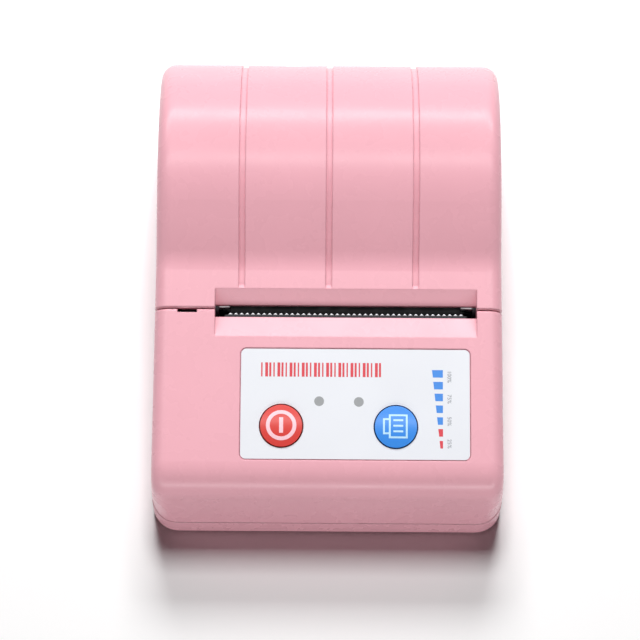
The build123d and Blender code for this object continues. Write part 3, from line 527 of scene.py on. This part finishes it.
class PRINTER_OT_feed_sign(Operator):
    """Prints a sheet leaving a slot on the feed button"""
    bl_idname = "printer.feed_sign"
    bl_label = "Feed sign"

    def execute(self, context):
        sizes = context.scene.printer_marks
        shape = bmesh.new()
        line = 0.42 * MM
        left, right, low, high = -1.6 * MM, 2.6 * MM, -2.7 * MM, 2.7 * MM
        add_patch(shape, left, right, high - line, high)
        add_patch(shape, left, right, low, low + line)
        add_patch(shape, left, left + line, low + line, high - line)
        add_patch(shape, right - line, right, low + line, high - line)
        margin, top_row, row_pitch = 1.0 * MM, 1.35 * MM, 1.25 * MM
        for step in range(3):
            middle = top_row - row_pitch * step
            add_patch(shape, left + margin, right - margin, middle - line / 2, middle + line / 2)
        slot_left, slot_low, slot_high = left - 1.3 * MM, low + 0.9 * MM, high - 0.9 * MM
        add_patch(shape, slot_left, slot_left + line, slot_low, slot_high)
        add_patch(shape, slot_left, left, slot_high - line, slot_high)
        add_patch(shape, slot_left, left, slot_low, slot_low + line)
        bmesh.ops.subdivide_edges(shape, edges=shape.edges[:], cuts=2, use_grid_fill=True)
        raise_faces(shape, sizes.print_rise)
        put_on_button(shape, "feed_button", FEED_UP, sizes.print_rise)
        from_bmesh(shape, "feed_sign", ink_for_print_and_shade("sign_cyan", (0.52, 0.80, 1.0)), "feed_key")
        return {"FINISHED"}


class PRINTER_OT_gauge(Operator):
    """Prints the battery gauge's bars and numbers on the panel"""
    bl_idname = "printer.gauge"
    bl_label = "Battery gauge"

    def execute(self, context):
        sizes = context.scene.printer_marks
        look = context.scene.printer_panel
        blue = ink_for_print_and_shade("gauge_blue", look.blue_print)
        red = ink_for_print_and_shade("gauge_red", look.red_print)
        grey = ink_for_print_and_shade("gauge_grey", (0.22, 0.23, 0.26))
        top, right = 6.95 * MM, 19.6 * MM
        widest, narrowing, slant = 2.45 * MM, 0.28 * MM, 0.2 * MM
        blue_steps = range(sizes.bar_count - 2)
        red_steps = range(sizes.bar_count - 2, sizes.bar_count)
        for colour, steps in ((blue, blue_steps), (red, red_steps)):
            shape = bmesh.new()
            for step in steps:
                middle = top - step * sizes.bar_pitch
                width = widest - narrowing * step
                half = sizes.bar_height / 2
                add_patch(shape, right - width, right, middle - half, middle + half, slant)
            raise_faces(shape, sizes.print_rise)
            bmesh.ops.transform(shape, matrix=deck_matrix(), verts=shape.verts)
            name = "gauge_bars_blue" if colour is blue else "gauge_bars_red"
            from_bmesh(shape, name, colour, "housing")
        highest, number_pitch = 6.3 * MM, 5.05 * MM
        for step, words in enumerate(("100%", "75%", "50%", "25%")):
            self.number(words, highest - number_pitch * step, step, sizes, grey)
        return {"FINISHED"}

    def number(self, words, up, step, sizes, material):
        curve = bpy.data.curves.new(f"gauge_number_{step}", "FONT")
        curve.body = words
        curve.size = sizes.number_height
        curve.extrude = sizes.print_rise / 2
        curve.align_x = "CENTER"
        curve.align_y = "CENTER"
        holder = bpy.data.objects.new(f"gauge_text_{step}", curve)
        bpy.context.scene.collection.objects.link(holder)
        bpy.context.view_layer.update()
        mesh = bpy.data.meshes.new_from_object(holder.evaluated_get(bpy.context.evaluated_depsgraph_get()))
        bpy.data.objects.remove(holder)
        across = 21.0 * MM
        mesh.transform(deck_matrix(across, up, sizes.print_rise / 2, -math.pi / 2))
        finished(mesh, f"gauge_number_{step}", material, "housing")


class PRINTER_OT_stripe_mark(Operator):
    """Prints a row of plain red strokes where a heading would stand"""
    bl_idname = "printer.stripe_mark"
    bl_label = "Stripe mark"

    def execute(self, context):
        sizes = context.scene.printer_marks
        look = context.scene.printer_panel
        shape = bmesh.new()
        left, right = -21.1 * MM, 6.2 * MM
        low, high = 6.1 * MM, 9.3 * MM
        count = 30
        pitch = (right - left) / count
        for stroke in range(count):
            width = pitch * (0.35, 0.7, 0.5)[stroke % 3]
            start = left + stroke * pitch
            add_patch(shape, start, start + width, low, high)
        raise_faces(shape, sizes.print_rise)
        bmesh.ops.transform(shape, matrix=deck_matrix(), verts=shape.verts)
        from_bmesh(shape, "stripe_mark", ink_for_print_and_shade("stripe_red", look.red_print), "housing")
        return {"FINISHED"}


class PRINTER_OT_screw_crosses(Operator):
    """Paints a dark cross on each screw head underneath, a painted shade for the cross recess"""
    bl_idname = "printer.screw_crosses"
    bl_label = "Screw crosses"

    def execute(self, context):
        low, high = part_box("housing_screws")
        head, arm, line = 1.9 * MM, 1.05 * MM, 0.22 * MM
        # Flat dark patches stand in for the shade in each screw head's cross recess.
        shape = bmesh.new()
        for x in (low.x + head, high.x - head):
            for y in (low.y + head, high.y - head):
                add_patch(shape, x - arm, x + arm, y - line, y + line, rise=low.z)
                add_patch(shape, x - line, x + line, y + line, y + arm, rise=low.z)
                add_patch(shape, x - line, x + line, y - arm, y - line, rise=low.z)
        raise_faces(shape, -context.scene.printer_marks.print_rise)
        from_bmesh(shape, "screw_crosses", ink_for_print_and_shade("cross_painted_shade", (0.03, 0.03, 0.03)), "housing")
        return {"FINISHED"}


class PRINTER_OT_battery_label(Operator):
    """Lays a plain label with a few lines on the battery, behind its door"""
    bl_idname = "printer.battery_label"
    bl_label = "Battery label"

    def execute(self, context):
        low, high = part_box("battery_pack")
        middle = (low.y + high.y) / 2
        rise = context.scene.printer_marks.print_rise
        half_width, half_length = 21 * MM, 7 * MM
        shape = bmesh.new()
        add_patch(shape, -half_width, half_width, middle - half_length, middle + half_length, rise=low.z)
        raise_faces(shape, -rise)
        from_bmesh(shape, "battery_label", ink_for_print_and_shade("label_paper", (0.72, 0.72, 0.70)), "housing")
        shape = bmesh.new()
        start, first, pitch, half = -18 * MM, 4.2 * MM, 2.8 * MM, 0.3 * MM
        for line, length in enumerate((34 * MM, 30 * MM, 36 * MM, 22 * MM)):
            y = middle + first - pitch * line
            add_patch(shape, start, start + length, y - half, y + half, rise=low.z - rise)
        raise_faces(shape, -rise)
        from_bmesh(shape, "battery_label_lines", ink_for_print_and_shade("label_ink", (0.03, 0.03, 0.035)), "housing")
        return {"FINISHED"}


class PRINTER_OT_stage(Operator):
    """Sets the floor, the soft lights and the camera"""
    bl_idname = "printer.stage"
    bl_label = "Stage"

    def execute(self, context):
        look = context.scene.printer_stage
        floor = self.floor(look)
        self.surround(context.scene, look)
        printer = self.receivers("all_but_floor", floor, "EXCLUDE")
        self.light("back_strip", 48, 0.10, look.back_strip, printer)
        self.light("canopy", 30, 0.40, look.canopy, printer)
        self.light("top_strip", 5, 0.08, look.top_strip, printer)
        self.light("front_strip", -85, 0.16, look.front_strip, printer)
        ground = self.receivers("floor_only", floor, "INCLUDE")
        self.light("floor_near", 20, 0.30, look.floor_near, ground, 0.26)
        self.light("floor_far", 45, 0.30, look.floor_far, ground, 0.45)
        self.camera(context.scene, look)
        return {"FINISHED"}

    def floor(self, look):
        shape = bmesh.new()
        bmesh.ops.create_grid(shape, x_segments=8, y_segments=8, size=FLOOR_REACH)
        mesh = bpy.data.meshes.new("floor")
        shape.to_mesh(mesh)
        shape.free()
        floor = bpy.data.objects.new("floor", mesh)
        bpy.context.scene.collection.objects.link(floor)
        material, nodes, links, shader = new_material("floor_paper")
        place = pattern_place(nodes, links)
        mix = nodes.new("ShaderNodeMix")
        mix.data_type = "RGBA"
        mix.inputs["A"].default_value = (*look.floor, 1)
        mix.inputs["B"].default_value = (1, 1, 1, 1)
        links.new(self.seen(nodes, links), mix.inputs["Factor"])
        links.new(mix.outputs["Result"], shader.inputs["Base Color"])
        rough = spread(nodes, links, noise(nodes, links, place, 0.01), 0.82, 0.9)
        links.new(rough, shader.inputs["Roughness"])
        shader.inputs["Specular IOR Level"].default_value = 0.1
        mesh.materials.append(material)
        return floor

    def surround(self, scene, look):
        world = bpy.data.worlds.new("surround")
        scene.world = world
        world.use_nodes = True
        nodes, links = world.node_tree.nodes, world.node_tree.links
        background = next(n for n in nodes if n.type == "BACKGROUND")
        mix = nodes.new("ShaderNodeMix")
        mix.inputs["A"].default_value = look.surround
        mix.inputs["B"].default_value = 1.0
        links.new(self.seen(nodes, links), mix.inputs["Factor"])
        background.inputs["Color"].default_value = (1, 1, 1, 1)
        links.new(mix.outputs["Result"], background.inputs["Strength"])

    def seen(self, nodes, links):
        """1 for what the camera sees straight, mirrored or through glass, and 0 for scattered light."""
        rays = nodes.new("ShaderNodeLightPath")
        total = rays.outputs["Is Camera Ray"]
        for kind in ("Is Glossy Ray", "Is Transmission Ray"):
            either = nodes.new("ShaderNodeMath")
            either.operation = "MAXIMUM"
            links.new(total, either.inputs[0])
            links.new(rays.outputs[kind], either.inputs[1])
            total = either.outputs["Value"]
        return total

    def receivers(self, name, piece, state):
        group = bpy.data.collections.new(name)
        group.objects.link(piece)
        group.collection_objects[0].light_linking.link_state = state
        return group

    def light(self, name, lean, depth, power, group, width=LIGHT_WIDTH):
        """A light on an arc round the printer; lean is its angle from straight above, towards the back."""
        lamp = bpy.data.lights.new(name, "AREA")
        lamp.shape = "RECTANGLE"
        lamp.size = width
        lamp.size_y = depth
        lamp.energy = power
        holder = bpy.data.objects.new(name, lamp)
        turn = Matrix.Rotation(math.radians(-lean), 4, "X")
        holder.matrix_world = Matrix.Translation(LIGHT_AIM) @ turn @ Matrix.Translation((0, 0, LIGHT_REACH))
        bpy.context.scene.collection.objects.link(holder)
        holder.light_linking.receiver_collection = group

    def camera(self, scene, look):
        lens = bpy.data.cameras.new("camera")
        lens.lens = look.lens
        lens.sensor_width = 36
        lens.clip_start = 0.01
        camera = bpy.data.objects.new("camera", lens)
        turn = Matrix.Rotation(CAMERA_TILT, 4, "X") @ Matrix.Rotation(CAMERA_ROLL, 4, "Z")
        camera.matrix_world = Matrix.Translation(CAMERA_AT) @ turn
        scene.collection.objects.link(camera)
        scene.camera = camera


class PRINTER_PT_sidebar(Panel):
    bl_idname = "PRINTER_PT_sidebar"
    bl_label = "Receipt printer"
    bl_space_type = "VIEW_3D"
    bl_region_type = "UI"
    bl_category = "Printer"

    def draw(self, context):
        for group in GROUPS:
            box = self.layout.box()
            values = getattr(context.scene, group)
            for prop in values.bl_rna.properties:
                if prop.identifier not in {"rna_type", "name"}:
                    box.prop(values, prop.identifier)
        for maker in MAKERS:
            self.layout.operator(maker.bl_idname)


GROUPS = {
    "printer_casing": CasingLook,
    "printer_panel": PanelLook,
    "printer_marks": MarkSizes,
    "printer_stage": StageLook,
}
MAKERS = (
    PRINTER_OT_casing,
    PRINTER_OT_mechanism,
    PRINTER_OT_electronics,
    PRINTER_OT_panel,
    PRINTER_OT_power_sign,
    PRINTER_OT_feed_sign,
    PRINTER_OT_gauge,
    PRINTER_OT_stripe_mark,
    PRINTER_OT_screw_crosses,
    PRINTER_OT_battery_label,
    PRINTER_OT_stage,
)


def register():
    for group in (*GROUPS.values(), *MAKERS, PRINTER_PT_sidebar):
        bpy.utils.register_class(group)
    for name, group in GROUPS.items():
        setattr(bpy.types.Scene, name, PointerProperty(type=group))


def unregister():
    for name in GROUPS:
        delattr(bpy.types.Scene, name)
    for group in reversed((*GROUPS.values(), *MAKERS, PRINTER_PT_sidebar)):
        bpy.utils.unregister_class(group)


def main():
    register()
    bpy.ops.printer.casing()
    bpy.ops.printer.mechanism()
    bpy.ops.printer.electronics()
    bpy.ops.printer.panel()
    bpy.ops.printer.power_sign()
    bpy.ops.printer.feed_sign()
    bpy.ops.printer.gauge()
    bpy.ops.printer.stripe_mark()
    bpy.ops.printer.screw_crosses()
    bpy.ops.printer.battery_label()
    bpy.ops.printer.stage()
    bpy.context.scene.view_settings.view_transform = "Standard"


if __name__ == "__main__":
    main()
